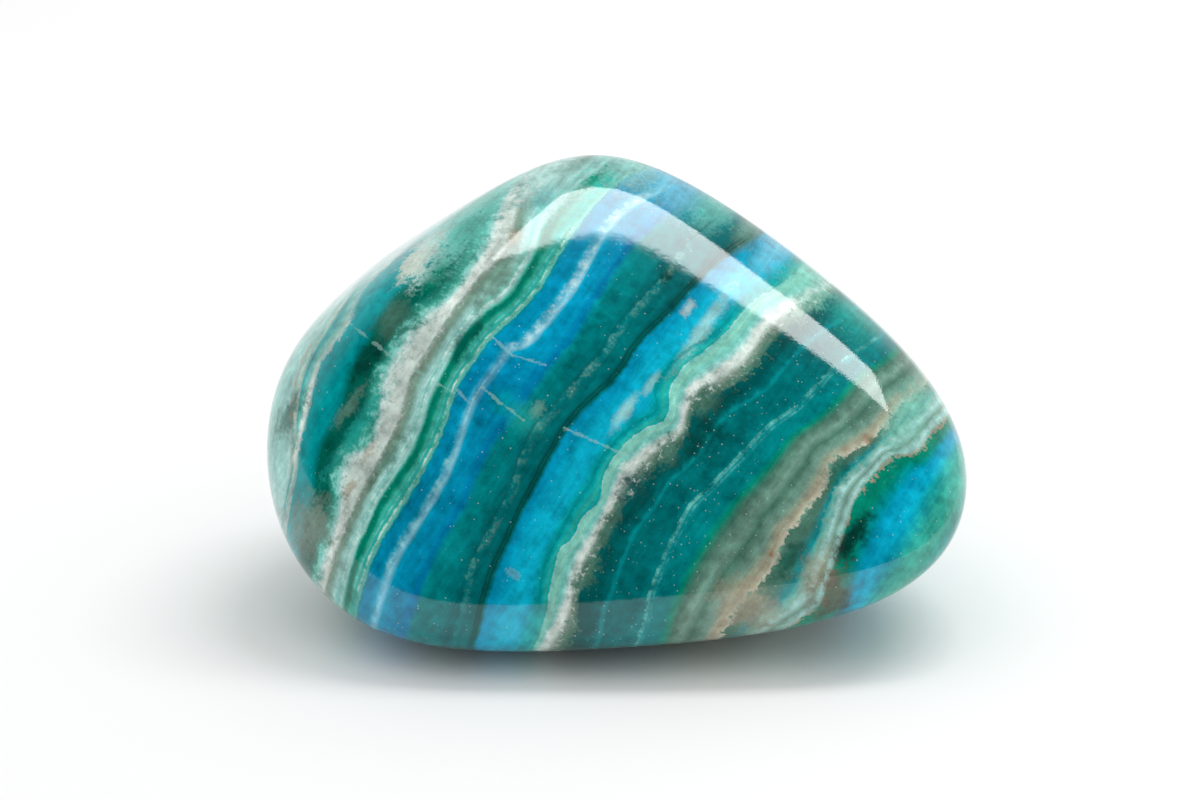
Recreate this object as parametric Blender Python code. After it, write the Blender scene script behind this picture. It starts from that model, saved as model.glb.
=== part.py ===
"""A tumbled amazonite stone about 40 mm long, standing on a small worn spot.

Metres, +Z up. X runs along the stone, the broad banded face looks toward -Y, and the stone
stands on z = 0 with the middle of its bounding box over the origin.
"""
import math

import bmesh
import bpy
from mathutils import Matrix, Vector

MM = 0.001

# Tumbling has worn the stone to a set of broad flats that melt into one another.
# Each flat has the azimuth and elevation of its outward normal, in degrees, and its distance
# from the heart of the stone, in millimetres. Azimuth 0 is +X and 90 is +Y.
WORN_FLATS = {
    "nose": (-1, 20, 19.75),
    "under_nose": (2, -51, 16.65),
    "heel": (-173, -46, 18.35),
    "left_end": (175, 7, 19.65),
    "upper_left": (163, 55, 14.15),
    "upper_right": (25, 48, 13.85),
    "front": (-90, 20, 11.8),
    "front_low": (-90, 8, 14.95),
    "front_up": (-70, 53, 9.75),
    "front_left": (-127, 18, 16.05),
    "front_right": (-59, 26, 18.35),
    "back": (88, -20, 14.0),
    "back_left": (133, -15, 15.65),
    "back_right": (47, -15, 15.75),
    "back_top": (90, 32, 13.3),
    "back_low": (90, -70, 13.5),
    "under_left": (-110, -79, 13.8),
    "under_right": (-58, -72, 13.75),
    "rest": (0, -90, 11.9),
}

# How tightly one flat turns into the next: 2 would be a pebble, 20 a cut gem.
EDGE_TIGHTNESS = 8

# What standing has worn off the lowest point, which makes the spot that the stone rests on.
RESTING_WEAR = 0.15 * MM

# Squares along each edge of the cube that the skin is wrapped from, and how often the points
# are spread evenly over the skin afterwards.
SKIN_SQUARES = 28
EVENING_ROUNDS = 24

# The teal of the stone's middle as a plain colour (linear), with its tumbled polish.
STONE_COLOUR = (0.02, 0.23, 0.27, 1.0)
POLISH_ROUGHNESS = 0.08


def clear_scene():
    for thing in list(bpy.data.objects):
        bpy.data.objects.remove(thing, do_unlink=True)


def direction(azimuth, elevation):
    azimuth = math.radians(azimuth)
    elevation = math.radians(elevation)
    level = math.cos(elevation)
    return Vector((level * math.cos(azimuth), level * math.sin(azimuth), math.sin(elevation)))


def flat_gradients():
    """Each flat's normal over its distance, so that a dot product of 1 lies on the flat."""
    return [direction(az, el) / (dist * MM) for az, el, dist in WORN_FLATS.values()]


def reach(toward, gradients):
    """Distance from the heart to the skin in one direction."""
    pushes = (max(0.0, gradient.dot(toward)) for gradient in gradients)
    return sum(push ** EDGE_TIGHTNESS for push in pushes) ** (-1.0 / EDGE_TIGHTNESS)


def cube_shell():
    """A closed cube of two units with evenly spread square faces."""
    shell = bmesh.new()
    bmesh.ops.create_cube(shell, size=2.0)
    bmesh.ops.subdivide_edges(
        shell, edges=shell.edges[:], cuts=SKIN_SQUARES - 1, use_grid_fill=True
    )
    return shell


def put_on_skin(shell, gradients):
    for vert in shell.verts:
        toward = vert.co.normalized()
        vert.co = toward * reach(toward, gradients)


def wrap_on_stone(shell):
    """Move the cube's points onto the stone's skin and even out their spacing."""
    gradients = flat_gradients()
    put_on_skin(shell, gradients)
    for _ in range(EVENING_ROUNDS):
        bmesh.ops.smooth_vert(
            shell, verts=shell.verts[:], factor=0.5,
            use_axis_x=True, use_axis_y=True, use_axis_z=True,
        )
        put_on_skin(shell, gradients)


def wear_resting_spot(shell):
    """Take the lowest sliver off and close the opening with one level face."""
    level = min(vert.co.z for vert in shell.verts) + RESTING_WEAR
    geometry = shell.verts[:] + shell.edges[:] + shell.faces[:]
    bmesh.ops.bisect_plane(
        shell, geom=geometry, dist=1e-7, plane_co=(0.0, 0.0, level), plane_no=(0.0, 0.0, -1.0),
        clear_outer=True,
    )
    rim = [edge for edge in shell.edges if edge.is_boundary]
    return bmesh.ops.edgeloop_fill(shell, edges=rim)["faces"]


def stand_on_origin(shell):
    """Put the middle of the bounding box over the origin and the resting spot on z = 0."""
    lowest = Vector([min(vert.co[axis] for vert in shell.verts) for axis in range(3)])
    highest = Vector([max(vert.co[axis] for vert in shell.verts) for axis in range(3)])
    middle = (lowest + highest) / 2.0
    shift = Matrix.Translation((-middle.x, -middle.y, -lowest.z))
    bmesh.ops.transform(shell, matrix=shift, verts=shell.verts[:])


def stone_material():
    material = bpy.data.materials.new("polished amazonite")
    material.use_nodes = True
    shader = material.node_tree.nodes["Principled BSDF"]
    shader.inputs["Base Color"].default_value = STONE_COLOUR
    shader.inputs["Roughness"].default_value = POLISH_ROUGHNESS
    shader.inputs["Metallic"].default_value = 0.0
    material.diffuse_color = STONE_COLOUR
    return material


def make_stone():
    shell = cube_shell()
    wrap_on_stone(shell)
    for face in shell.faces:
        face.smooth = True
    resting_faces = wear_resting_spot(shell)
    for face in resting_faces:
        face.smooth = False
    stand_on_origin(shell)
    bmesh.ops.recalc_face_normals(shell, faces=shell.faces[:])
    mesh = bpy.data.meshes.new("stone")
    shell.to_mesh(mesh)
    shell.free()
    mesh.materials.append(stone_material())
    stone = bpy.data.objects.new("stone", mesh)
    bpy.context.scene.collection.objects.link(stone)
    return stone


def main():
    clear_scene()
    make_stone()


main()
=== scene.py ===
"""A tumbled amazonite stone on a white sheet under one softbox, laid out as a Blender add-on.

The form repeats the worn flats of the solid at a finer step. The beds of the stone are sheets
that run through its whole body, so its back and its ends show the same sheets from behind.
"""
import math

import bmesh
import bpy
import numpy as np
from bpy.props import FloatProperty, FloatVectorProperty, IntProperty, PointerProperty
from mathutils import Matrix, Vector


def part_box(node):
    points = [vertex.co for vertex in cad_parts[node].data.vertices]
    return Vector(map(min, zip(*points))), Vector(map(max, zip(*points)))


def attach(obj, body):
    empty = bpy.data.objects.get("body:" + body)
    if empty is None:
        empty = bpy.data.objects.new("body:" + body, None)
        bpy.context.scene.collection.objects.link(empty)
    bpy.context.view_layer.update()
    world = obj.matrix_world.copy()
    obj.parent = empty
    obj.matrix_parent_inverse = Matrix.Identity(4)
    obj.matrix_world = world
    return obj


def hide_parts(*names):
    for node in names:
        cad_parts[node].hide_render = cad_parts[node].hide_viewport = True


bl_info = {
    "name": "Tumbled amazonite",
    "version": (1, 0, 0),
    "blender": (4, 5, 0),
    "location": "3D Viewport > Sidebar > Amazonite",
    "description": "Makes a polished, banded amazonite pebble and the white sheet it stands on",
    "category": "Add Mesh",
}

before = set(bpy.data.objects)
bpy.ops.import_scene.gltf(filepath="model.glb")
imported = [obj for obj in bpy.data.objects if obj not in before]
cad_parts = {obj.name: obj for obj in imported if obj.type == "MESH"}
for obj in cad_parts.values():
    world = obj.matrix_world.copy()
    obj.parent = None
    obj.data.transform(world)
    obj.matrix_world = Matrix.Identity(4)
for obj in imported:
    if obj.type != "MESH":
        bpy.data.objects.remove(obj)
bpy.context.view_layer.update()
STONE_LOW, STONE_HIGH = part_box("stone")
MM = 0.001

# Each worn flat has the azimuth and elevation of its outward normal, in degrees, and its
# distance from the heart of the stone, in millimetres. Azimuth 0 is +X and 90 is +Y.
WORN_FLATS = {
    "nose": (-1, 20, 19.75),
    "under_nose": (2, -51, 16.65),
    "heel": (-173, -46, 18.35),
    "left_end": (175, 7, 19.65),
    "upper_left": (163, 55, 14.15),
    "upper_right": (25, 48, 13.85),
    "front": (-90, 20, 11.8),
    "front_low": (-90, 8, 14.95),
    "front_up": (-70, 53, 9.75),
    "front_left": (-127, 18, 16.05),
    "front_right": (-59, 26, 18.35),
    "back": (88, -20, 14.0),
    "back_left": (133, -15, 15.65),
    "back_right": (47, -15, 15.75),
    "back_top": (90, 32, 13.3),
    "back_low": (90, -70, 13.5),
    "under_left": (-110, -79, 13.8),
    "under_right": (-58, -72, 13.75),
    "rest": (0, -90, 11.9),
}
EDGE_TIGHTNESS = 8
RESTING_WEAR = 0.15 * MM

# The six sides of the cube that the skin is wrapped from: outward axis, then the two across it.
CUBE_SIDES = (
    ((1, 0, 0), (0, 1, 0), (0, 0, 1)),
    ((-1, 0, 0), (0, -1, 0), (0, 0, 1)),
    ((0, 1, 0), (-1, 0, 0), (0, 0, 1)),
    ((0, -1, 0), (1, 0, 0), (0, 0, 1)),
    ((0, 0, 1), (1, 0, 0), (0, 1, 0)),
    ((0, 0, -1), (1, 0, 0), (0, -1, 0)),
)
MAP_COLUMNS = 3
MAP_ROWS = 2
MAP_MARGIN = 0.004

# The broad face looks up by this much. The beds stand square to it, and run up it at a slant.
FACE_TILT = math.radians(20.0)
BED_SLANT = math.radians(55.0)
FACE_UP = (0.0, math.sin(FACE_TILT), math.cos(FACE_TILT))
INTO_STONE = (0.0, math.cos(FACE_TILT), -math.sin(FACE_TILT))
ALONG_BEDS = (
    math.cos(BED_SLANT), math.sin(BED_SLANT) * FACE_UP[1], math.sin(BED_SLANT) * FACE_UP[2]
)
ACROSS_BEDS = (
    math.sin(BED_SLANT), -math.cos(BED_SLANT) * FACE_UP[1], -math.cos(BED_SLANT) * FACE_UP[2]
)

# Where each seam between two beds lies, as points of distance along the beds and across them,
# in millimetres from the heart of the stone, from its upper end to its lower end.
ALONG_RANGE = (-18.0, 15.0)
ACROSS_RANGE = (-18.0, 23.0)
SEAMS = {
    "rind": ((14, -17.0), (-17, -17.0)),
    "rust_thread": (
        (12, -13.2), (8, -14.2), (4, -14.9), (0, -15.6), (-3, -15.75), (-5.1, -15.65),
        (-7.7, -15.35), (-9, -14.85), (-10.6, -13.95), (-12.3, -12.65), (-14, -11.9),
        (-17, -10.6),
    ),
    "lens": (
        (12, -12.6), (8, -13.3), (4, -13.9), (0, -14.5), (-2.5, -14.75), (-4.3, -14.3),
        (-7, -14.3), (-8.8, -13.75), (-10.4, -13.1), (-12.1, -12.45), (-13.4, -11.9),
        (-15.1, -11.3), (-17, -10.2),
    ),
    "left_crust": (
        (13, -12.2), (9, -11.7), (6.5, -11.7), (4, -11.0), (2, -10.7), (0, -10.75),
        (-1.5, -11.3), (-4.4, -11.3), (-6.2, -10.9), (-7.7, -10.1), (-9, -9.8), (-10.4, -10.3),
        (-11.7, -9.9), (-13, -9.0), (-14.5, -8.5), (-17, -7.8),
    ),
    "lamellae": (
        (13, -8.6), (10, -9.4), (8, -10.0), (6.5, -10.3), (5, -9.7), (3.5, -9.5), (2, -9.7),
        (0, -9.75), (-3, -9.6), (-4.6, -9.5), (-5.5, -9.2), (-7, -8.7), (-9, -8.4),
        (-11, -8.2), (-13, -7.9), (-15, -7.5), (-17, -6.9),
    ),
    "green_line": (
        (13, -7.2), (10, -8.2), (8, -8.5), (6.5, -8.5), (5, -8.05), (3.5, -7.85), (2, -7.78),
        (0.5, -8.3), (-1, -8.5), (-3, -8.3), (-5, -7.97), (-6.5, -7.5), (-8, -7.19),
        (-9.5, -7.15), (-11, -7.17), (-12.5, -6.9), (-14, -6.64), (-17, -5.6),
    ),
    "blue": (
        (13, -5.9), (10, -6.9), (7.5, -7.05), (5.3, -6.95), (3.1, -6.75), (1.4, -6.95),
        (0.1, -7.25), (-2.1, -7.35), (-3.8, -7.25), (-5.6, -6.7), (-7.3, -6.3), (-9.9, -6.05),
        (-13.2, -5.85), (-15.3, -5.4), (-17, -4.8),
    ),
    "white_streak": (
        (13, -4.1), (11.8, -4.5), (11, -4.95), (9.9, -5.4), (7.9, -5.6), (6.2, -5.4),
        (4.65, -5.2), (3.1, -5.25), (1.8, -5.35), (0.3, -5.6), (-0.3, -6.1), (-1.2, -6.15),
        (-3.4, -6.15), (-5.1, -5.75), (-6.9, -5.2), (-8.6, -4.9), (-11, -4.75), (-13.2, -4.65),
        (-14.7, -4.3), (-17, -3.6),
    ),
    "teal": (
        (13, -3.0), (9.65, -3.65), (8.6, -3.9), (6.4, -3.9), (4.2, -3.78), (1.8, -3.6),
        (0.1, -3.78), (-2.5, -3.78), (-4.7, -3.9), (-6.9, -3.67), (-8.6, -3.25),
        (-10.3, -3.13), (-12.1, -2.9), (-14, -2.5), (-17, -1.6),
    ),
    "sugar_line": (
        (13, -0.7), (11, -1.3), (9.9, -1.6), (7.7, -1.6), (6, -1.8), (4, -2.0), (2.3, -1.93),
        (0.5, -2.15), (-1.2, -2.3), (-3, -2.5), (-4.7, -2.26), (-6.2, -1.8), (-8, -1.5),
        (-9.9, -1.3), (-11.7, -0.96), (-13, -0.4), (-15, 0.4),
    ),
    "dark_line": (
        (13, 1.3), (11, 0.5), (9.2, 0.13), (7.7, -0.09), (6, -0.3), (4, -0.63), (2.3, -0.57),
        (1, -0.74), (-0.6, -1.07), (-2.1, -1.22), (-3.8, -1.07), (-5.6, -0.85), (-7.3, -0.63),
        (-9, -0.3), (-10.8, 0.02), (-12.5, 0.57), (-13.6, 1.0), (-15, 1.5),
    ),
    "fringe": (
        (13, 4.2), (11, 3.6), (10, 3.2), (8.6, 3.0), (6.8, 2.7), (5.3, 2.05), (3.8, 1.72),
        (2.5, 1.8), (1.5, 2.5), (0.5, 2.05), (-0.8, 1.72), (-2.5, 1.57), (-3.8, 1.83),
        (-5.1, 1.83), (-6.9, 2.04), (-8.6, 2.26), (-9.9, 2.8), (-10.8, 3.35), (-13, 4.0),
    ),
    "mint": (
        (13, 4.5), (11, 3.9), (9.65, 3.3), (7.7, 3.1), (6, 2.72), (4.65, 2.28), (3.1, 2.28),
        (1.5, 3.0), (0.1, 2.28), (-1.2, 1.95), (-3, 2.05), (-4.3, 2.6), (-5.6, 2.37),
        (-6.7, 2.6), (-7.7, 2.4), (-8.6, 2.7), (-9.9, 3.24), (-10.8, 3.7), (-13, 4.3),
    ),
    "right_crust": (
        (13, 6.0), (11.5, 5.4), (10.3, 4.76), (8.6, 4.43), (6.6, 4.33), (4.9, 3.67),
        (3.6, 3.24), (2.3, 3.57), (1.4, 3.9), (0.1, 3.35), (-1.2, 2.9), (-2.5, 2.8),
        (-4.3, 3.13), (-5.6, 3.35), (-7.3, 3.46), (-8.8, 3.9), (-10.3, 4.43), (-12, 4.54),
        (-14, 5.0),
    ),
    "deep_teal": (
        (13, 6.9), (11.5, 6.3), (9.4, 5.6), (7.3, 5.3), (6.4, 5.3), (5, 4.9), (4, 4.3),
        (2.7, 3.95), (1.4, 4.35), (0, 4.2), (-1, 3.9), (-2.5, 4.0), (-4, 3.75), (-5.3, 3.75),
        (-6.2, 4.0), (-7.7, 4.3), (-9, 4.5), (-10.5, 5.3), (-12, 5.6), (-14, 6.2),
    ),
    "pale_line": (
        (13, 10.6), (12, 10.26), (11, 9.83), (9.4, 9.17), (7.7, 8.85), (6, 8.52), (4.5, 7.95),
        (2.7, 7.63), (1, 7.35), (-0.3, 7.12), (-1.65, 6.87), (-3, 7.0), (-4, 7.15),
        (-5.6, 7.48), (-7.1, 7.9), (-8, 8.35), (-9, 8.67), (-10, 9.0),
    ),
    "tan_edge": (
        (12.5, 14.2), (11, 13.9), (9.65, 13.4), (7.5, 13.1), (6, 12.5), (4.9, 12.0),
        (3.6, 12.2), (1, 12.2), (0.1, 12.0), (-1, 12.4), (-2.5, 12.4), (-4, 12.2), (-6, 12.3),
    ),
    "white_bed": (
        (12, 15.0), (10, 14.4), (8.3, 13.96), (6.8, 13.5), (5.3, 13.2), (4, 12.9),
        (2.3, 13.3), (0.5, 13.96), (-0.8, 14.17), (-2.1, 14.5), (-4, 13.9), (-6, 13.4),
    ),
    "nose_green": (
        (12, 16.5), (9.65, 15.7), (7.7, 15.37), (7, 14.5), (5.5, 14.17), (4, 14.07),
        (2.3, 14.5), (0.5, 15.04), (-1, 15.5), (-2.1, 15.8), (-3.4, 15.4), (-6, 14.8),
    ),
    "nose_rim": ((12, 18.2), (9, 17.3), (7, 17.4), (5, 17.5), (3, 17.6), (1, 17.9), (-6, 19.5)),
    "nose_tip": ((14, 22.0), (-17, 22.0)),
}

# What each bed is made of, from its own seam to the next: how softly and how raggedly it
# starts, both in millimetres, and its pigments by their place across the bed, from 0 to 1.
BEDS = {
    "rind": (0.20, 0.10, ((0.0, "sea_green"), (0.5, "mint"), (1.0, "pale_aqua"))),
    "rust_thread": (
        0.12, 0.15,
        ((0.0, "pale_aqua"), (0.2, "mint"), (0.45, "turquoise"), (0.7, "mint"), (1.0, "frost")),
    ),
    "lens": (
        0.14, 0.30,
        ((0.0, "turquoise"), (0.12, "lagoon"), (0.4, "lagoon"), (0.55, "bottle"),
         (0.8, "bottle"), (1.0, "sea_green")),
    ),
    "left_crust": (
        0.34, 1.10,
        ((0.0, "mint"), (0.25, "pale_aqua"), (0.45, "frost"), (0.8, "frost"), (1.0, "stone_grey")),
    ),
    "lamellae": (
        0.10, 0.20,
        ((0.0, "stone_grey"), (0.18, "sage"), (0.42, "pale_aqua"), (0.62, "mint"),
         (0.8, "pale_aqua"), (0.92, "sea_green"), (1.0, "leaf_green")),
    ),
    "green_line": (
        0.10, 0.12,
        ((0.0, "leaf_green"), (0.22, "leaf_green"), (0.4, "sea_green"), (0.62, "jade"),
         (0.85, "sea_green"), (1.0, "mint")),
    ),
    "blue": (
        0.08, 0.08,
        ((0.0, "lagoon"), (0.15, "blue"), (0.5, "blue"), (0.68, "cyan"), (1.0, "sky")),
    ),
    "white_streak": (
        0.16, 0.18,
        ((0.0, "sky"), (0.14, "cyan"), (0.3, "blue"), (0.65, "blue"), (0.88, "deep_blue"),
         (1.0, "deep_blue")),
    ),
    "teal": (
        0.22, 0.15,
        ((0.0, "lake"), (0.25, "teal"), (0.6, "teal"), (0.85, "deep_teal"), (1.0, "deep_teal")),
    ),
    "sugar_line": (
        0.10, 0.12,
        ((0.0, "teal"), (0.3, "deep_teal"), (0.65, "deep_teal"), (1.0, "ink_teal")),
    ),
    "dark_line": (
        0.07, 0.05,
        ((0.0, "ink_teal"), (0.06, "deep_teal"), (0.11, "blue"), (0.28, "cyan"),
         (0.5, "bright_cyan"), (0.75, "bright_cyan"), (0.9, "turquoise"), (1.0, "turquoise")),
    ),
    "fringe": (0.10, 0.05, ((0.0, "turquoise"), (0.5, "jade"), (1.0, "turquoise"))),
    "mint": (
        0.07, 0.08,
        ((0.0, "mint"), (0.3, "pale_jade"), (0.6, "mint"), (0.85, "pale_aqua"),
         (1.0, "frost")),
    ),
    "right_crust": (
        0.24, 0.75,
        ((0.0, "frost"), (0.3, "frost"), (0.6, "stone_grey"), (1.0, "moss")),
    ),
    "deep_teal": (
        0.26, 1.35,
        ((0.0, "moss"), (0.05, "ink_teal"), (0.22, "ink_teal"), (0.36, "deep_teal"),
         (0.42, "lake"), (0.48, "deep_teal"), (0.8, "deep_teal"), (1.0, "teal")),
    ),
    "pale_line": (
        0.06, 0.06,
        ((0.0, "lake"), (0.1, "teal"), (0.26, "teal"), (0.33, "leaf_green"), (0.42, "moss"),
         (0.55, "sage"), (0.66, "moss"), (0.8, "sage"), (0.92, "sand"), (1.0, "cream")),
    ),
    "tan_edge": (
        0.10, 0.50,
        ((0.0, "moss"), (0.4, "moss"), (0.75, "lake"), (1.0, "mint")),
    ),
    "white_bed": (
        0.24, 0.80,
        ((0.0, "sage"), (0.3, "pale_aqua"), (0.55, "sage"), (0.8, "pale_aqua"), (1.0, "sand")),
    ),
    "nose_green": (
        0.14, 0.80,
        ((0.0, "leaf_green"), (0.25, "leaf_green"), (0.4, "lagoon"), (0.55, "cyan"),
         (0.8, "bright_cyan"), (1.0, "turquoise")),
    ),
    "nose_rim": (0.60, 0.30, ((0.0, "jade"), (0.3, "sea_green"), (0.6, "lagoon"), (1.0, "teal"))),
    "nose_tip": (0.40, 0.30, ((0.0, "teal"), (1.0, "deep_teal"))),
}

# Fine lines that keep to a seam: the seam, how far across it they lie and how wide they are
# to each side, both in millimetres, pigment, strength, how broken they are from 0 to 1, and
# the stretch along the bed where they show.
LINES = (
    ("rust_thread", 0.05, 0.18, "rust", 0.6, 0.6, (-14, -5)),
    ("rust_thread", 0.35, 0.20, "cream", 0.6, 0.4, (-17, -2)),
    ("lens", -0.12, 0.20, "white", 0.8, 0.4, (-13, -6.5)),
    ("left_crust", 0.55, 0.30, "white", 0.6, 0.5, (-17, 9)),
    ("lamellae", -0.12, 0.14, "moss", 0.6, 0.6, (-17, 3)),
    ("lamellae", 0.75, 0.10, "white", 0.55, 0.7, (-17, 1)),
    ("green_line", -0.45, 0.10, "white", 0.5, 0.6, (-17, 6)),
    ("green_line", 0.05, 0.20, "bottle", 0.5, 0.4, (-17, 6)),
    ("blue", -0.18, 0.09, "white", 0.6, 0.7, (-17, 8)),
    ("blue", -0.45, 0.07, "pale_aqua", 0.5, 0.7, (-17, 8)),
    ("white_streak", -0.18, 0.42, "frost", 0.65, 0.8, (-1, 12)),
    ("white_streak", -0.15, 0.36, "pale_aqua", 0.65, 0.8, (-15, -5)),
    ("white_streak", -0.05, 0.07, "pale_aqua", 0.6, 0.5, (-6, 0)),
    ("sugar_line", 0.15, 0.34, "sage", 0.55, 0.9, (-14, 12)),
    ("sugar_line", -0.12, 0.10, "ink_teal", 0.5, 0.4, (-15, 13)),
    ("dark_line", -0.14, 0.10, "ink_green", 0.7, 0.3, (-15, 13)),
    ("dark_line", 0.06, 0.07, "ink_green", 0.75, 0.3, (-15, 13)),
    ("fringe", -0.16, 0.16, "teal", 0.6, 0.3, (-12, 9)),
    ("mint", 0.03, 0.05, "frost", 0.5, 0.5, (-12, 12)),
    ("mint", 0.36, 0.05, "frost", 0.35, 0.6, (-12, 12)),
    ("right_crust", 0.12, 0.32, "white", 0.5, 0.8, (-14, 13)),
    ("pale_line", -0.03, 0.16, "mint", 0.7, 0.7, (-12, 13)),
    ("pale_line", 0.22, 0.10, "mint", 0.35, 0.8, (-12, 10)),
    ("tan_edge", -0.25, 0.45, "sage", 0.5, 0.8, (-6, 12)),
    ("white_bed", 0.15, 0.20, "pale_aqua", 0.5, 0.8, (-4, 12)),
    ("nose_green", -0.18, 0.24, "pale_aqua", 0.6, 0.7, (-3, 12)),
)

# Patches: where their middle lies along and across the beds, how far they reach along and
# across, all in millimetres, pigment, strength and how ragged their edge is from 0 to 1.
PATCHES = (
    (1.6, -13.0, 2.4, 1.1, "pale_aqua", 0.8, 0.9),
    (0.6, -13.3, 1.5, 0.6, "cream", 0.8, 0.9),
    (3.5, -12.2, 3.2, 1.2, "mint", 0.8, 0.8),
    (3.8, -12.2, 1.2, 0.7, "sea_green", 0.7, 0.8),
    (6.5, -12.4, 2.0, 1.5, "mint", 0.8, 0.7),
    (0.4, -11.8, 1.2, 0.4, "leaf_green", 0.7, 0.8),
    (-2.6, -12.4, 1.4, 1.0, "moss", 0.8, 0.7),
    (-2.4, -14.0, 1.6, 0.95, "turquoise", 0.95, 0.25),
    (-5.6, -12.3, 1.2, 0.6, "ink_green", 0.8, 0.6),
    (-8.0, -11.6, 1.4, 0.35, "sage", 0.5, 1.0),
    (-10.3, -14.2, 1.8, 0.6, "bottle", 0.8, 0.6),
    (-14.6, -9.6, 1.6, 1.6, "stone_grey", 0.7, 0.8),
    (-8.6, -10.5, 3.6, 0.45, "jade", 0.6, 0.9),
    (4.9, -9.6, 0.5, 0.4, "sand", 0.7, 0.8),
    (-9.3, -9.2, 0.6, 0.3, "sand", 0.7, 0.8),
    (-11.5, -9.0, 0.6, 0.3, "sand", 0.7, 0.8),
    (7.8, -9.6, 1.0, 0.6, "turquoise", 0.9, 0.5),
    (2.6, -8.9, 2.4, 0.65, "sage", 0.85, 0.5),
    (-1.4, -8.4, 1.3, 0.42, "bottle", 0.85, 0.6),
    (-9.0, -8.2, 1.6, 0.35, "moss", 0.6, 0.8),
    (-2.3, -6.0, 2.0, 1.2, "deep_blue", 0.5, 0.5),
    (-2.9, -4.6, 0.8, 1.0, "lagoon", 0.7, 0.5),
    (-2.2, -3.0, 0.55, 0.4, "sage", 0.7, 0.9),
    (-2.9, -3.2, 0.9, 1.2, "jade", 0.4, 0.6),
    (2.5, -2.8, 2.6, 0.7, "deep_teal", 0.6, 0.6),
    (-11.2, -2.4, 1.6, 0.7, "lake", 0.6, 0.6),
    (8.2, -1.4, 0.7, 0.4, "ink_green", 0.8, 0.5),
    (0.5, 0.95, 1.3, 0.35, "pale_aqua", 0.75, 0.5),
    (2.6, 1.25, 0.8, 0.25, "pale_aqua", 0.6, 0.5),
    (7.0, 1.9, 2.8, 0.42, "pale_aqua", 0.7, 0.5),
    (7.2, 0.55, 0.5, 0.3, "frost", 0.6, 0.9),
    (-10.2, 1.1, 0.25, 0.4, "sky", 0.5, 1.2),
    (3.5, 4.2, 1.1, 0.75, "moss", 0.95, 0.8),
    (0.1, 4.1, 1.0, 0.65, "moss", 0.95, 0.8),
    (-2.7, 3.8, 1.2, 0.75, "ink_teal", 0.9, 0.8),
    (-5.2, 3.8, 0.9, 0.5, "moss", 0.9, 0.8),
    (-8.0, 4.3, 1.2, 0.6, "moss", 0.9, 0.8),
    (2.0, 5.2, 2.6, 0.75, "ink_green", 0.6, 0.7),
    (2.4, 6.6, 2.2, 0.8, "ink_teal", 0.5, 0.5),
    (9.5, 13.9, 2.6, 1.1, "pale_jade", 0.75, 0.7),
    (4.4, 12.4, 0.9, 0.7, "bottle", 0.6, 0.8),
    (-1.0, 12.9, 1.0, 0.6, "bottle", 0.6, 0.8),
    (7.0, 12.8, 0.25, 0.3, "rust", 0.8, 0.6),
    (-1.0, 11.9, 0.4, 0.12, "rust", 0.7, 0.8),
    (-4.4, 12.6, 1.4, 2.0, "sand", 0.7, 0.6),
    (-0.6, 14.6, 1.6, 1.0, "sand", 0.6, 0.8),
    (1.9, 15.1, 1.9, 0.6, "ink_green", 0.95, 0.6),
    (-1.2, 16.0, 1.5, 1.3, "umber", 0.8, 0.5),
    (3.0, 17.0, 3.0, 0.9, "cyan", 0.6, 0.5),
    # The rows from here to the end follow the upper rim from its left end over the top to its
    # right end. They are paler copies of the beds under them, and they are painted light: the
    # softbox's light on the top and the bright rim, laid into the colour.
    (4.8, -13.4, 3.4, 1.6, "mint", 0.85, 0.7),
    (1.4, -13.1, 1.7, 0.7, "frost", 0.7, 1.0),
    (9.5, -10.5, 3.0, 2.4, "pale_aqua", 0.8, 0.6),
    (12.6, -7.0, 2.0, 2.6, "pale_aqua", 0.8, 0.5),
    (13.0, -3.6, 2.2, 1.8, "sky", 0.75, 0.5),
    (12.9, -1.4, 1.7, 1.2, "mint", 0.7, 0.5),
    (12.9, 0.9, 1.6, 0.8, "sage", 0.6, 0.5),
    (12.8, 2.6, 1.8, 1.0, "sky", 0.7, 0.5),
    (12.5, 5.4, 1.8, 1.4, "pale_jade", 0.7, 0.5),
    (12.6, 8.6, 1.8, 2.0, "jade", 0.6, 0.5),
)

# Healed cracks: the place along and across the beds where each one starts and ends.
CRACKS = (
    (-4.2, -14.4, -4.35, -11.2),
    (-4.35, -11.2, -4.0, -7.2),
    (-0.3, -7.3, -0.5, -5.9),
    (-0.5, -5.9, 0.1, -4.0),
    (-2.9, -6.2, -3.05, -3.3),
    (-2.1, -1.2, -1.4, 2.4),
    (-3.8, -7.3, -3.95, -6.2),
)

# The beds slant and drift as they go back into the stone, so its back is no mirror image of its
# face: where the drift starts and is complete, how far it carries the beds across and along,
# all in millimetres, and how many of its clouds there are to a millimetre.
DRIFT_DEPTHS = (-1.0, 13.0)
DRIFT_ACROSS = 3.0
DRIFT_SPREAD = 7.0
DRIFT_ALONG = -3.0
DRIFT_CLOUDS = 0.09

# Clouds of noise: how many there are to a millimetre, their finer layers and their roughness.
BROAD_CLOUDS = (0.45, 3.0, 0.5)
MIDDLING_CLOUDS = (1.5, 3.0, 0.55)
FINE_CLOUDS = (5.0, 3.0, 0.6)
DUST_CLOUDS = (14.0, 2.0, 0.6)
CRUST_GRAINS = (3.2, 5.0, 0.7)
LAYERS = (1.0, 4.0, 0.6)
LAYER_STRETCH = (0.35, 4.5, 0.35)
FINE_SHARE_OF_WAVER = 0.3
FINE_SHARE_OF_EDGES = 0.7
BROAD_SHARE = 0.8
LAYER_SHARE = 0.5
DUST_SHARE = 0.4
GRAIN_LIGHT = (0.05, 0.35)
GRAIN_DARK = (-0.5, -0.1)
GRAIN_LIGHT_SHARE = 0.6
GRAIN_DARK_SHARE = 0.7

# Seams that cross are kept this far apart, and the last bed's pigments run over this length.
NARROWEST_BED = 0.1
LAST_BED = 5.0

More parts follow.
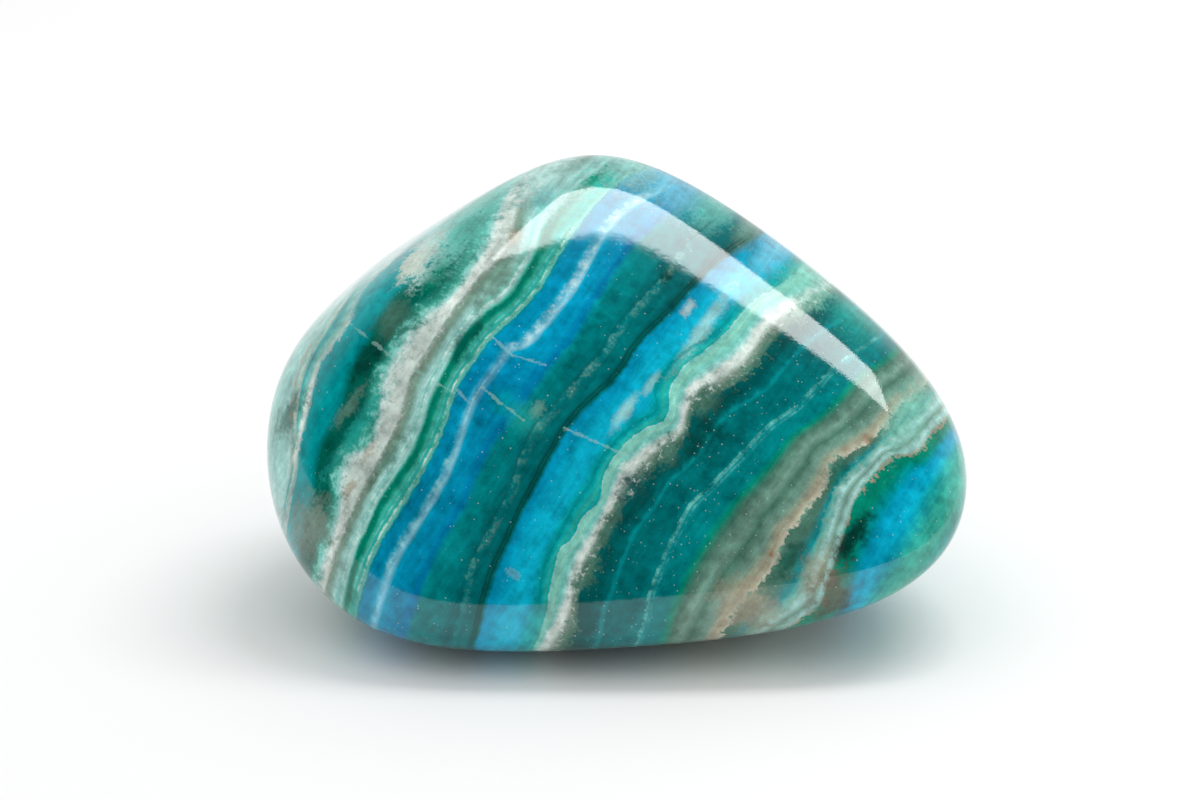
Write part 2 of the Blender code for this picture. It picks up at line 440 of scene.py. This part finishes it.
# Patches fade out at these depths behind the heart, and between these sizes of their own.
PATCH_DEPTHS = (2.0, 9.0)
PATCH_EDGE = (0.3, 1.35)
PATCH_RAGGEDNESS = 1.3

# Lines fade in and out over this length, and each is full for this share of its half width.
LINE_ENDS = 1.5
LINE_CORE = 0.3

# Healed cracks: how far they waver, how wide they fade, how strong they are, and how deep.
CRACK_WAVER = 0.22
CRACK_WIDTH = 0.10
CRACK_STRENGTH = 0.4
CRACK_DEPTHS = (-6.0, 0.0)

# Sugary specks: cells to a millimetre, their smallest radius and its spread in cells, the
# chance that a cell stays bare, what the thick beds and the clouds take off it, and strength.
SPECK_CELLS = 4.5
SPECK_SIZE = 0.06
SPECK_SPREAD = 0.22
SPECK_BARE = 0.82
SPECK_THICK = -0.22
SPECK_CLOUDS = -0.3
SPECK_STRENGTH = 0.35

AMAZONITE_IOR = 1.54
CRUST_ROUGHNESS = 0.03
CLOUD_ROUGHNESS = 0.01
BUMP_STRENGTH = 0.05
BUMP_HEIGHT = 0.02 * MM

# The white sheet starts close in front of the stone, so the polish mirrors its front edge.
SHEET_FRONT = -150.0 * MM
SHEET_BACK = 900.0 * MM
SHEET_WHITE = (0.9, 0.9, 0.9, 1.0)
SHEET_ROUGHNESS = 0.9

# The softbox's edges from over the heart, as shares of its height: left to right, near to far.
SOFTBOX_LEFT, SOFTBOX_RIGHT = 0.08, 0.78
SOFTBOX_NEAR, SOFTBOX_FAR = 0.10, 0.34

# What the polish mirrors of the room: dark in front, bright behind and low, dim higher up.
ROOM_FRONT_TO_BACK = (-0.10, 0.35)
ROOM_LOW_TO_HIGH = (0.2, 0.7)
ROOM_HIGH_STRENGTH = 0.2
ROOM_LOW_STRENGTH = 0.75
TENT_LOW_STRENGTH = 0.7
TENT_TOP_STRENGTH = 0.6

# The camera faces the broad side squarely. The heart of the stone stands at its pixel of the
# picture, at this many pixels to the millimetre.
CAMERA_DISTANCE = 240.0 * MM
CAMERA_CLIP = (10.0 * MM, 10.0)
PICTURE_WIDTH = 1200
PICTURE_CENTRE = (600.0, 400.0)
HEART_IN_PICTURE = (604.8, 408.7)
PIXELS_PER_MM = 17.5
SENSOR_WIDTH = 36.0

# The solid's own skin has this many squares along each side of the cube.
SOLID_SQUARES = 28


def from_screen(red, green, blue):
    """Linear colour of a screen colour with values from 0 to 255."""
    values = np.array([red, green, blue]) / 255.0
    low = values / 12.92
    high = ((values + 0.055) / 1.055) ** 2.4
    return tuple(float(value) for value in np.where(values <= 0.04045, low, high))


def pigment(name, description, red, green, blue):
    """A colour that a user can change, from its screen values."""
    return FloatVectorProperty(
        name=name, description=description, subtype="COLOR", size=3, min=0.0, max=1.0,
        default=from_screen(red, green, blue),
    )


class AmazonitePigments(bpy.types.PropertyGroup):
    """Pigments of the beds, lines and patches of the stone"""

    white: pigment("White", "Sugary white of fine lines and specks", 222, 230, 224)
    frost: pigment("Frost", "Greyed white of the two crusts", 192, 208, 200)
    cream: pigment("Cream", "Warm white of the crusts", 200, 198, 178)
    pale_aqua: pigment("Pale aqua", "Palest of the blue-green beds", 158, 206, 200)
    sky: pigment("Sky", "Pale blue of the streak", 120, 190, 212)
    mint: pigment("Mint", "Pale green of the fringe", 112, 192, 180)
    pale_jade: pigment("Pale jade", "Milky green between fine lines", 128, 198, 180)
    jade: pigment("Jade", "Clear middle green", 40, 170, 158)
    sea_green: pigment("Sea green", "Green beside the blue bed", 60, 168, 148)
    leaf_green: pigment("Leaf green", "Strong green line", 4, 132, 108)
    turquoise: pigment("Turquoise", "Bright green-blue patches", 6, 160, 164)
    lagoon: pigment("Lagoon", "Blue-green of the left lens", 0, 142, 146)
    cyan: pigment("Cyan", "Blue of the bright bed", 4, 154, 186)
    bright_cyan: pigment("Bright cyan", "Lightest of the bright bed", 10, 172, 200)
    blue: pigment("Blue", "Clear blue of the two blue beds", 2, 138, 174)
    deep_blue: pigment("Deep blue", "Darker edge of the blue beds", 0, 118, 162)
    lake: pigment("Lake", "Lighter teal", 4, 136, 140)
    teal: pigment("Teal", "Plain teal", 1, 122, 124)
    deep_teal: pigment("Deep teal", "Dark teal of the broad beds", 1, 106, 108)
    ink_teal: pigment("Ink teal", "Darkest teal", 2, 84, 84)
    bottle: pigment("Bottle green", "Dark green of the left lens", 0, 94, 80)
    ink_green: pigment("Ink green", "Almost black green", 6, 62, 54)
    moss: pigment("Moss", "Grey green of hollows", 72, 116, 100)
    sage: pigment("Sage", "Light grey green", 112, 152, 136)
    stone_grey: pigment("Stone grey", "Brownish grey of the crust edges", 122, 144, 130)
    sand: pigment("Sand", "Tan stain", 164, 156, 132)
    rust: pigment("Rust", "Iron stain", 150, 100, 66)
    umber: pigment("Umber", "Brown foot of the right end", 92, 88, 72)


class StoneSizes(bpy.types.PropertyGroup):
    """How fine the stone is made and how its surface is finished"""

    squares: IntProperty(
        name="Squares", description="Small squares along each side of the wrapped skin",
        default=126, min=8, max=140,
    )
    polish: FloatProperty(
        name="Polish", description="Roughness of the polished skin",
        default=0.045, min=0.0, max=1.0, subtype="FACTOR",
    )
    wander: FloatProperty(
        name="Wander", description="How far the beds waver, in millimetres",
        default=0.10, min=0.0, max=1.0,
    )
    cloudiness: FloatProperty(
        name="Cloudiness", description="How much light and dark clouds mottle the beds",
        default=0.58, min=0.0, max=2.0,
    )


class StageSizes(bpy.types.PropertyGroup):
    """The white sheet, the light and the camera"""

    softbox_height: FloatProperty(
        name="Softbox height", description="Height of the light above the heart of the stone",
        default=0.26, min=0.1, subtype="DISTANCE", unit="LENGTH",
    )
    softbox_radiance: FloatProperty(
        name="Softbox radiance", description="Brightness of the light's face",
        default=9.0, min=0.0,
    )
    sheet_width: FloatProperty(
        name="Sheet width", description="Width of the white sheet",
        default=1.6, min=0.4, subtype="DISTANCE", unit="LENGTH",
    )
    camera_distance: FloatProperty(
        name="Camera distance", description="From the camera to the heart of the stone",
        default=CAMERA_DISTANCE, min=0.1, subtype="DISTANCE", unit="LENGTH",
    )


def direction(azimuth, elevation):
    """Unit vector toward an azimuth and elevation in degrees."""
    azimuth = math.radians(azimuth)
    elevation = math.radians(elevation)
    level = math.cos(elevation)
    return np.array([level * math.cos(azimuth), level * math.sin(azimuth), math.sin(elevation)])


def reach(toward):
    """Distance from the heart to the skin for each row of unit directions."""
    gradients = np.array([direction(az, el) / (dist * MM) for az, el, dist in WORN_FLATS.values()])
    pushes = np.maximum(0.0, toward @ gradients.T)
    return (pushes ** EDGE_TIGHTNESS).sum(axis=1) ** (-1.0 / EDGE_TIGHTNESS)


def cube_side(side, squares):
    """Directions through an even grid of points on one side of the cube."""
    outward, across, upward = (np.array(axis, float) for axis in CUBE_SIDES[side])
    steps = np.tan(np.linspace(-1.0, 1.0, squares + 1) * math.pi / 4.0)
    right, up = np.meshgrid(steps, steps, indexing="ij")
    grid = outward + right[..., None] * across + up[..., None] * upward
    return (grid / np.linalg.norm(grid, axis=2, keepdims=True)).reshape(-1, 3)


def side_places(side, squares):
    """Where one side's grid of points lies in the colour map."""
    steps = np.linspace(MAP_MARGIN, 1.0 - MAP_MARGIN, squares + 1)
    right, up = np.meshgrid(steps, steps, indexing="ij")
    column = side % MAP_COLUMNS
    row = side // MAP_COLUMNS
    places = np.stack([(column + right) / MAP_COLUMNS, (row + up) / MAP_ROWS], axis=2)
    return places.reshape(-1, 2)


def side_squares(squares):
    """Corner numbers of each small square of one side's grid, turning outward."""
    rows, columns = np.meshgrid(np.arange(squares), np.arange(squares), indexing="ij")
    first = (rows * (squares + 1) + columns).reshape(-1)
    return np.stack([first, first + squares + 1, first + squares + 2, first + 1], axis=1)


def stone_skin(squares):
    """Points of the stone, its small squares and the colour-map place of every point."""
    toward = np.concatenate([cube_side(side, squares) for side in range(len(CUBE_SIDES))])
    places = np.concatenate([side_places(side, squares) for side in range(len(CUBE_SIDES))])
    side_points = (squares + 1) ** 2
    faces = np.concatenate(
        [side_squares(squares) + side * side_points for side in range(len(CUBE_SIDES))]
    )
    return toward * reach(toward)[:, None], faces, places


def stand_in_frame(points):
    """Wear the resting spot level and put the stone where its solid stands."""
    lowest = points.min(axis=0)
    highest = points.max(axis=0)
    level = lowest[2] + RESTING_WEAR
    points[:, 2] = np.maximum(points[:, 2], level)
    middle = (np.array(STONE_LOW) + np.array(STONE_HIGH)) / 2.0
    own_middle = (lowest + highest) / 2.0
    heart = np.array([middle[0] - own_middle[0], middle[1] - own_middle[1], STONE_LOW[2] - level])
    return points + heart, heart


def find_heart():
    """Where the point that the worn flats are measured from stands in the frame."""
    points = stone_skin(SOLID_SQUARES)[0]
    return stand_in_frame(points)[1]


class Bench:
    """Places the nodes of one material and joins them."""

    columns = 30
    column_step = 200
    row_step = -320

    def __init__(self, tree):
        self.tree = tree

    def place(self, kind, **settings):
        node = self.tree.nodes.new(kind)
        count = len(self.tree.nodes)
        column = count % self.columns - self.columns
        node.location = (column * self.column_step, count // self.columns * self.row_step)
        for name, value in settings.items():
            setattr(node, name, value)
        return node

    def feed(self, socket, value):
        if isinstance(value, bpy.types.NodeSocket):
            self.tree.links.new(value, socket)
        else:
            socket.default_value = value

    def math(self, operation, *values):
        node = self.place("ShaderNodeMath", operation=operation)
        for socket, value in zip(node.inputs, values):
            self.feed(socket, value)
        return node.outputs[0]

    def vector(self, operation, *values):
        node = self.place("ShaderNodeVectorMath", operation=operation)
        for socket, value in zip(node.inputs, values):
            self.feed(socket, value)
        return node.outputs["Value" if operation in ("DOT_PRODUCT", "LENGTH") else "Vector"]

    def bundle(self, first, second, third):
        node = self.place("ShaderNodeCombineXYZ")
        for socket, value in zip(node.inputs, (first, second, third)):
            self.feed(socket, value)
        return node.outputs[0]

    def rise(self, value, start, end):
        """0 before start, 1 after end and a soft rise between."""
        node = self.place("ShaderNodeMapRange", interpolation_type="SMOOTHSTEP")
        self.feed(node.inputs["Value"], value)
        self.feed(node.inputs["From Min"], start)
        self.feed(node.inputs["From Max"], end)
        return node.outputs["Result"]

    def fall(self, value, start, end):
        return self.math("SUBTRACT", 1.0, self.rise(value, start, end))

    def noise(self, place, scale, detail=2.0, roughness=0.5):
        """Clouds around 0, mostly between -0.5 and 0.5."""
        node = self.place("ShaderNodeTexNoise", noise_dimensions="3D")
        self.feed(node.inputs["Vector"], place)
        node.inputs["Scale"].default_value = scale
        node.inputs["Detail"].default_value = detail
        node.inputs["Roughness"].default_value = roughness
        return self.math("MULTIPLY_ADD", node.outputs[0], 2.0, -1.0)

    def blend(self, share, first, second, how="MIX"):
        node = self.place("ShaderNodeMix", data_type="RGBA", blend_type=how)
        self.feed(node.inputs[0], share)
        self.feed(node.inputs[6], first)
        self.feed(node.inputs[7], second)
        return node.outputs[2]

    def ramp(self, value, stops):
        node = self.place("ShaderNodeValToRGB")
        band = node.color_ramp
        band.interpolation = "LINEAR"
        while len(band.elements) < len(stops):
            band.elements.new(0.5)
        for element, (position, colour) in zip(band.elements, stops):
            element.position = position
            element.color = colour
        self.feed(node.inputs[0], value)
        return node.outputs[0]

    def curve(self, value, points):
        node = self.place("ShaderNodeFloatCurve")
        line = node.mapping.curves[0]
        while len(line.points) < len(points):
            line.points.new(0.5, 0.5)
        for point, place in zip(line.points, sorted(points)):
            point.location = place
        node.mapping.update()
        self.feed(node.inputs["Value"], value)
        return node.outputs[0]


def share_of(value, span):
    """Where a value lies in a span, as a share from 0 to 1."""
    return (value - span[0]) / (span[1] - span[0])


class StonePlace:
    """Where a point of the stone lies: along the beds, across them and into the stone."""

    def __init__(self, bench, heart, wander):
        texture = bench.place("ShaderNodeTexCoord").outputs["Object"]
        from_heart = bench.vector("SUBTRACT", texture, tuple(heart))
        self.point = bench.vector("MULTIPLY", from_heart, (1.0 / MM, 1.0 / MM, 1.0 / MM))
        self.depth = bench.vector("DOT_PRODUCT", self.point, INTO_STONE)
        along = bench.vector("DOT_PRODUCT", self.point, ALONG_BEDS)
        across = bench.vector("DOT_PRODUCT", self.point, ACROSS_BEDS)
        behind = bench.rise(self.depth, *DRIFT_DEPTHS)
        drift = bench.noise(self.point, DRIFT_CLOUDS)
        drift = bench.math("MULTIPLY_ADD", drift, DRIFT_SPREAD, DRIFT_ACROSS)
        across = bench.math("MULTIPLY_ADD", behind, drift, across)
        self.along = bench.math("MULTIPLY_ADD", behind, DRIFT_ALONG, along)
        self.fine = bench.noise(self.point, *FINE_CLOUDS)
        self.middling = bench.noise(self.point, *MIDDLING_CLOUDS)
        self.broad = bench.noise(self.point, *BROAD_CLOUDS)
        waver = bench.math("MULTIPLY_ADD", self.middling, wander, across)
        fine_wander = wander * FINE_SHARE_OF_WAVER
        self.across = bench.math("MULTIPLY_ADD", self.fine, fine_wander, waver)
        self.ragged = bench.math("MULTIPLY_ADD", self.fine, FINE_SHARE_OF_EDGES, self.middling)
        self.in_beds = bench.bundle(self.along, self.across, self.depth)


def seam_places(bench, place):
    """For each seam, where it lies across the beds at the shaded point."""
    start, end = ALONG_RANGE
    low, high = ACROSS_RANGE
    share = bench.math("MULTIPLY_ADD", place.along, 1.0 / (end - start), -start / (end - start))
    seams = {}
    for name, points in SEAMS.items():
        shares = [
            (share_of(along, ALONG_RANGE), share_of(across, ACROSS_RANGE))
            for along, across in points
        ]
        seams[name] = bench.math("MULTIPLY_ADD", bench.curve(share, shares), high - low, low)
    return seams


def lay_beds(bench, place, seams, colour_of):
    """The plain beds, each laid over the last from its own seam on."""
    names = list(SEAMS)
    colour = colour_of("sea_green")
    for number, name in enumerate(names):
        softness, raggedness, stops = BEDS[name]
        past = bench.math("SUBTRACT", place.across, seams[name])
        if number + 1 < len(names):
            width = bench.math("SUBTRACT", seams[names[number + 1]], seams[name])
            share = bench.math("DIVIDE", past, bench.math("MAXIMUM", width, NARROWEST_BED))
        else:
            share = bench.math("MULTIPLY", past, 1.0 / LAST_BED)
        bed = bench.ramp(share, [(at, colour_of(which)) for at, which in stops])
        edge = bench.math("MULTIPLY_ADD", place.ragged, raggedness, past)
        colour = bench.blend(bench.rise(edge, -softness, softness), colour, bed)
    return colour


def lay_patches(bench, place, colour, colour_of):
    """Clouds, lenses and stains that lie in the beds of the broad face, and pale patches of
    painted light along the upper rim.
    """
    near_face = bench.fall(place.depth, *PATCH_DEPTHS)
    for along, across, length, width, name, strength, raggedness in PATCHES:
        offset = bench.vector("SUBTRACT", place.in_beds, (along, across, 0.0))
        scaled = bench.vector("MULTIPLY", offset, (1.0 / length, 1.0 / width, 0.0))
        size = bench.vector("LENGTH", scaled)
        size = bench.math("MULTIPLY_ADD", place.ragged, raggedness * PATCH_RAGGEDNESS, size)
        share = bench.fall(size, *PATCH_EDGE)
        share = bench.math("MULTIPLY", share, bench.math("MULTIPLY", near_face, strength))
        colour = bench.blend(share, colour, colour_of(name))
    return colour


def lay_lines(bench, place, seams, colour, colour_of):
    """Thin lines that keep beside a seam, more or less broken up."""
    for seam, offset, width, name, strength, breaks, (low, high) in LINES:
        past = bench.math("SUBTRACT", place.across, seams[seam])
        away = bench.math("ABSOLUTE", bench.math("SUBTRACT", past, offset))
        share = bench.fall(away, width * LINE_CORE, width)
        kept = bench.rise(place.ragged, breaks - 1.1, breaks * 0.6 + 0.1)
        inside = bench.math(
            "MULTIPLY", bench.rise(place.along, low, low + LINE_ENDS),
            bench.fall(place.along, high - LINE_ENDS, high),
        )
        share = bench.math("MULTIPLY", bench.math("MULTIPLY", share, kept), inside)
        share = bench.math("MULTIPLY", share, strength)
        colour = bench.blend(share, colour, colour_of(name))
    return colour


def lay_cracks(bench, place, colour, colour_of):
    """Thin pale lines of healed cracks that cross the beds."""
    for start_along, start_across, end_along, end_across in CRACKS:
        start = (start_along, start_across, 0.0)
        run = np.array([end_along - start_along, end_across - start_across, 0.0])
        flat = bench.vector("MULTIPLY", place.in_beds, (1.0, 1.0, 0.0))
        offset = bench.vector("SUBTRACT", flat, start)
        share = bench.vector("DOT_PRODUCT", offset, tuple(run / (run @ run)))
        share = bench.math("MINIMUM", bench.math("MAXIMUM", share, 0.0), 1.0)
        foot = bench.vector("MULTIPLY", bench.bundle(share, share, share), tuple(run))
        away = bench.vector("LENGTH", bench.vector("SUBTRACT", offset, foot))
        away = bench.math("MULTIPLY_ADD", place.ragged, CRACK_WAVER, away)
        line = bench.math("MULTIPLY", bench.fall(away, 0.0, CRACK_WIDTH), CRACK_STRENGTH)
        line = bench.math("MULTIPLY", line, bench.fall(place.depth, *CRACK_DEPTHS))
        colour = bench.blend(line, colour, colour_of("pale_aqua"))
    return colour


def between(bench, place, seams, first, second, margin):
    """1 between two seams, with soft edges."""
    after = bench.math("SUBTRACT", place.across, seams[first])
    before = bench.math("SUBTRACT", place.across, seams[second])
    return bench.math(
        "MULTIPLY", bench.rise(after, -margin, margin), bench.fall(before, -margin, margin)
    )


def lay_grain(bench, place, seams, colour, colour_of, cloudiness):
    """Clouds and fine layers everywhere, and sugary grains in the crusts."""
    stretched = bench.vector("MULTIPLY", place.in_beds, LAYER_STRETCH)
    layers = bench.noise(stretched, *LAYERS)
    clouds = bench.math("MULTIPLY_ADD", place.broad, BROAD_SHARE, place.middling)
    clouds = bench.math("MULTIPLY_ADD", layers, LAYER_SHARE, clouds)
    dust = bench.noise(place.point, *DUST_CLOUDS)
    clouds = bench.math("MULTIPLY_ADD", dust, DUST_SHARE, clouds)
    light = bench.math("MULTIPLY_ADD", clouds, cloudiness, 1.0)
    colour = bench.blend(1.0, colour, bench.bundle(light, light, light), "MULTIPLY")
    left = between(bench, place, seams, "left_crust", "lamellae", 0.25)
    right = between(bench, place, seams, "right_crust", "deep_teal", 0.2)
    crusts = bench.math("MAXIMUM", left, right)
    grains = bench.noise(place.point, *CRUST_GRAINS)
    bright = bench.math("MULTIPLY", bench.rise(grains, *GRAIN_LIGHT), crusts)
    bright = bench.math("MULTIPLY", bright, GRAIN_LIGHT_SHARE)
    dark = bench.math("MULTIPLY", bench.fall(grains, *GRAIN_DARK), crusts)
    dark = bench.math("MULTIPLY", dark, GRAIN_DARK_SHARE)
    colour = bench.blend(dark, colour, colour_of("stone_grey"))
    return bench.blend(bright, colour, colour_of("white")), crusts


def lay_specks(bench, place, seams, colour, colour_of):
    """White specks like sugar, thick in some beds and thin elsewhere."""
    cells = bench.place("ShaderNodeTexVoronoi", voronoi_dimensions="3D")
    bench.feed(cells.inputs["Vector"], place.point)
    cells.inputs["Scale"].default_value = SPECK_CELLS
    chance = bench.place("ShaderNodeSeparateXYZ")
    bench.feed(chance.inputs[0], cells.outputs["Color"])
    thick = between(bench, place, seams, "deep_teal", "pale_line", 0.3)
    thick = bench.math(
        "MAXIMUM", thick, between(bench, place, seams, "pale_line", "tan_edge", 0.3)
    )
    need = bench.math("MULTIPLY_ADD", thick, SPECK_THICK, SPECK_BARE)
    need = bench.math("MULTIPLY_ADD", place.broad, SPECK_CLOUDS, need)
    picked = bench.rise(chance.outputs[0], need, bench.math("ADD", need, 0.02))
    size = bench.math("MULTIPLY_ADD", chance.outputs[1], SPECK_SPREAD, SPECK_SIZE)
    dot = bench.fall(cells.outputs["Distance"], bench.math("MULTIPLY", size, 0.4), size)
    share = bench.math("MULTIPLY", bench.math("MULTIPLY", dot, picked), SPECK_STRENGTH)
    return bench.blend(share, colour, colour_of("white"))


def stone_material(pigments, sizes, heart):
    """The one finish of the stone, from its beds outward to its polish."""
    material = bpy.data.materials.new("banded amazonite")
    material.use_nodes = True
    bench = Bench(material.node_tree)
    shader = material.node_tree.nodes["Principled BSDF"]

    def colour_of(name):
        return (*getattr(pigments, name), 1.0)

    place = StonePlace(bench, heart, sizes.wander)
    seams = seam_places(bench, place)
    colour = lay_beds(bench, place, seams, colour_of)
    colour = lay_patches(bench, place, colour, colour_of)
    colour = lay_lines(bench, place, seams, colour, colour_of)
    colour, crusts = lay_grain(bench, place, seams, colour, colour_of, sizes.cloudiness)
    colour = lay_specks(bench, place, seams, colour, colour_of)
    colour = lay_cracks(bench, place, colour, colour_of)
    bench.feed(shader.inputs["Base Color"], colour)
    roughness = bench.math("MULTIPLY_ADD", crusts, CRUST_ROUGHNESS, sizes.polish)
    roughness = bench.math("MULTIPLY_ADD", place.middling, CLOUD_ROUGHNESS, roughness)
    bench.feed(shader.inputs["Roughness"], roughness)
    shader.inputs["IOR"].default_value = AMAZONITE_IOR
    bump = bench.place("ShaderNodeBump")
    bump.inputs["Strength"].default_value = BUMP_STRENGTH
    bump.inputs["Distance"].default_value = BUMP_HEIGHT
    bench.feed(bump.inputs["Height"], place.ragged)
    bench.feed(shader.inputs["Normal"], bump.outputs[0])
    return material


class AMAZONITE_OT_stone(bpy.types.Operator):
    """Make the polished, banded stone where its solid stands"""

    bl_idname = "amazonite.stone"
    bl_label = "Make stone"

    def execute(self, context):
        sizes = context.scene.amazonite_stone
        points, faces, places = stone_skin(sizes.squares)
        points, heart = stand_in_frame(points)
        mesh = bpy.data.meshes.new("banded_stone")
        mesh.from_pydata(points.tolist(), [], faces.tolist())
        layer = mesh.uv_layers.new(name="OFBake")
        layer.data.foreach_set("uv", places[faces.reshape(-1)].reshape(-1))
        shell = bmesh.new()
        shell.from_mesh(mesh)
        bmesh.ops.remove_doubles(shell, verts=shell.verts[:], dist=0.001 * MM)
        shell.to_mesh(mesh)
        shell.free()
        mesh.shade_smooth()
        mesh.materials.append(stone_material(context.scene.amazonite_pigments, sizes, heart))
        stone = bpy.data.objects.new("banded_stone", mesh)
        context.scene.collection.objects.link(stone)
        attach(stone, "root")
        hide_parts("stone")
        return {"FINISHED"}


def make_sheet(context, width):
    """The white sheet that the stone stands on."""
    side = width / 2.0
    corners = [
        (-side, SHEET_FRONT, 0.0),
        (side, SHEET_FRONT, 0.0),
        (side, SHEET_BACK, 0.0),
        (-side, SHEET_BACK, 0.0),
    ]
    mesh = bpy.data.meshes.new("white_sheet")
    mesh.from_pydata(corners, [], [(0, 1, 2, 3)])
    material = bpy.data.materials.new("white sheet")
    material.use_nodes = True
    shader = material.node_tree.nodes["Principled BSDF"]
    shader.inputs["Base Color"].default_value = SHEET_WHITE
    shader.inputs["Roughness"].default_value = SHEET_ROUGHNESS
    shader.inputs["Specular IOR Level"].default_value = 0.0
    mesh.materials.append(material)
    sheet = bpy.data.objects.new("white_sheet", mesh)
    context.scene.collection.objects.link(sheet)


def make_softbox(context, heart, height, radiance):
    """The light over the stone. The polish mirrors it as the arc on the shoulder."""
    left, right = SOFTBOX_LEFT * height, SOFTBOX_RIGHT * height
    near, far = SOFTBOX_NEAR * height, SOFTBOX_FAR * height
    data = bpy.data.lights.new("softbox", "AREA")
    data.shape = "RECTANGLE"
    data.size = right - left
    data.size_y = far - near
    data.energy = radiance * math.pi * data.size * data.size_y
    softbox = bpy.data.objects.new("softbox", data)
    softbox.location = (
        heart[0] + (left + right) / 2.0, heart[1] + (near + far) / 2.0, heart[2] + height
    )
    softbox.visible_camera = False
    context.scene.collection.objects.link(softbox)


def make_surroundings(context):
    """Even light from all round. The polish mirrors a dark room in front, a bright one behind."""
    world = bpy.data.worlds.new("light tent")
    context.scene.world = world
    world.use_nodes = True
    world.node_tree.nodes.clear()
    bench = Bench(world.node_tree)
    split = bench.place("ShaderNodeSeparateXYZ")
    bench.feed(split.inputs[0], bench.place("ShaderNodeTexCoord").outputs["Generated"])
    behind = bench.rise(split.outputs["Y"], *ROOM_FRONT_TO_BACK)
    low = bench.fall(split.outputs["Z"], *ROOM_LOW_TO_HIGH)
    low = bench.math("MULTIPLY_ADD", low, ROOM_LOW_STRENGTH, ROOM_HIGH_STRENGTH)
    mirrored = bench.place("ShaderNodeBackground")
    bench.feed(mirrored.inputs["Strength"], bench.math("MULTIPLY", behind, low))
    plain = bench.place("ShaderNodeBackground")
    height = bench.math("MAXIMUM", split.outputs["Z"], 0.0)
    tent = bench.math("MULTIPLY_ADD", height, TENT_TOP_STRENGTH, TENT_LOW_STRENGTH)
    bench.feed(plain.inputs["Strength"], tent)
    mix = bench.place("ShaderNodeMixShader")
    bench.feed(mix.inputs[0], bench.place("ShaderNodeLightPath").outputs["Is Glossy Ray"])
    bench.feed(mix.inputs[1], plain.outputs[0])
    bench.feed(mix.inputs[2], mirrored.outputs[0])
    seen = bench.place("ShaderNodeMixShader")
    bench.feed(seen.inputs[0], bench.place("ShaderNodeLightPath").outputs["Is Camera Ray"])
    bench.feed(seen.inputs[1], mix.outputs[0])
    bench.feed(seen.inputs[2], bench.place("ShaderNodeBackground").outputs[0])
    bench.feed(bench.place("ShaderNodeOutputWorld").inputs["Surface"], seen.outputs[0])


def make_camera(context, heart, distance):
    """The camera at the picture's viewing angle and framing."""
    data = bpy.data.cameras.new("camera")
    data.sensor_width = SENSOR_WIDTH
    seen_width = PICTURE_WIDTH / PIXELS_PER_MM * MM
    data.lens = SENSOR_WIDTH * distance / seen_width
    data.clip_start, data.clip_end = CAMERA_CLIP
    camera = bpy.data.objects.new("camera", data)
    aside = (PICTURE_CENTRE[0] - HEART_IN_PICTURE[0]) / PIXELS_PER_MM * MM
    above = (HEART_IN_PICTURE[1] - PICTURE_CENTRE[1]) / PIXELS_PER_MM * MM
    camera.location = (
        Vector(heart) - Vector(INTO_STONE) * distance + Vector((aside, 0.0, 0.0))
        + Vector(FACE_UP) * above
    )
    camera.rotation_euler = (math.pi / 2.0 - FACE_TILT, 0.0, 0.0)
    context.scene.collection.objects.link(camera)
    context.scene.camera = camera


class AMAZONITE_OT_stage(bpy.types.Operator):
    """Make the white sheet, the softbox, the light tent and the camera"""

    bl_idname = "amazonite.stage"
    bl_label = "Make stage"

    def execute(self, context):
        sizes = context.scene.amazonite_stage
        heart = find_heart()
        make_sheet(context, sizes.sheet_width)
        make_softbox(context, heart, sizes.softbox_height, sizes.softbox_radiance)
        make_surroundings(context)
        make_camera(context, heart, sizes.camera_distance)
        context.scene.view_settings.view_transform = "Standard"
        return {"FINISHED"}


def settings_of(group):
    """Names of the values of a property group that a user can change."""
    return [name for name in group.bl_rna.properties.keys() if name not in ("rna_type", "name")]


class AMAZONITE_PT_panel(bpy.types.Panel):
    """Lists the makers of the stone and of its stage"""

    bl_idname = "AMAZONITE_PT_panel"
    bl_label = "Tumbled amazonite"
    bl_space_type = "VIEW_3D"
    bl_region_type = "UI"
    bl_category = "Amazonite"

    def draw(self, context):
        layout = self.layout
        scene = context.scene
        for operator, groups in (
            (AMAZONITE_OT_stone, (scene.amazonite_stone, scene.amazonite_pigments)),
            (AMAZONITE_OT_stage, (scene.amazonite_stage,)),
        ):
            box = layout.box()
            box.operator(operator.bl_idname)
            for group in groups:
                for name in settings_of(group):
                    box.prop(group, name)


CLASSES = (
    AmazonitePigments,
    StoneSizes,
    StageSizes,
    AMAZONITE_OT_stone,
    AMAZONITE_OT_stage,
    AMAZONITE_PT_panel,
)


def register():
    for part in CLASSES:
        bpy.utils.register_class(part)
    bpy.types.Scene.amazonite_pigments = PointerProperty(type=AmazonitePigments)
    bpy.types.Scene.amazonite_stone = PointerProperty(type=StoneSizes)
    bpy.types.Scene.amazonite_stage = PointerProperty(type=StageSizes)


def unregister():
    del bpy.types.Scene.amazonite_stage
    del bpy.types.Scene.amazonite_stone
    del bpy.types.Scene.amazonite_pigments
    for part in reversed(CLASSES):
        bpy.utils.unregister_class(part)


def main():
    register()
    bpy.ops.amazonite.stone()
    bpy.ops.amazonite.stage()


if __name__ == "__main__":
    main()
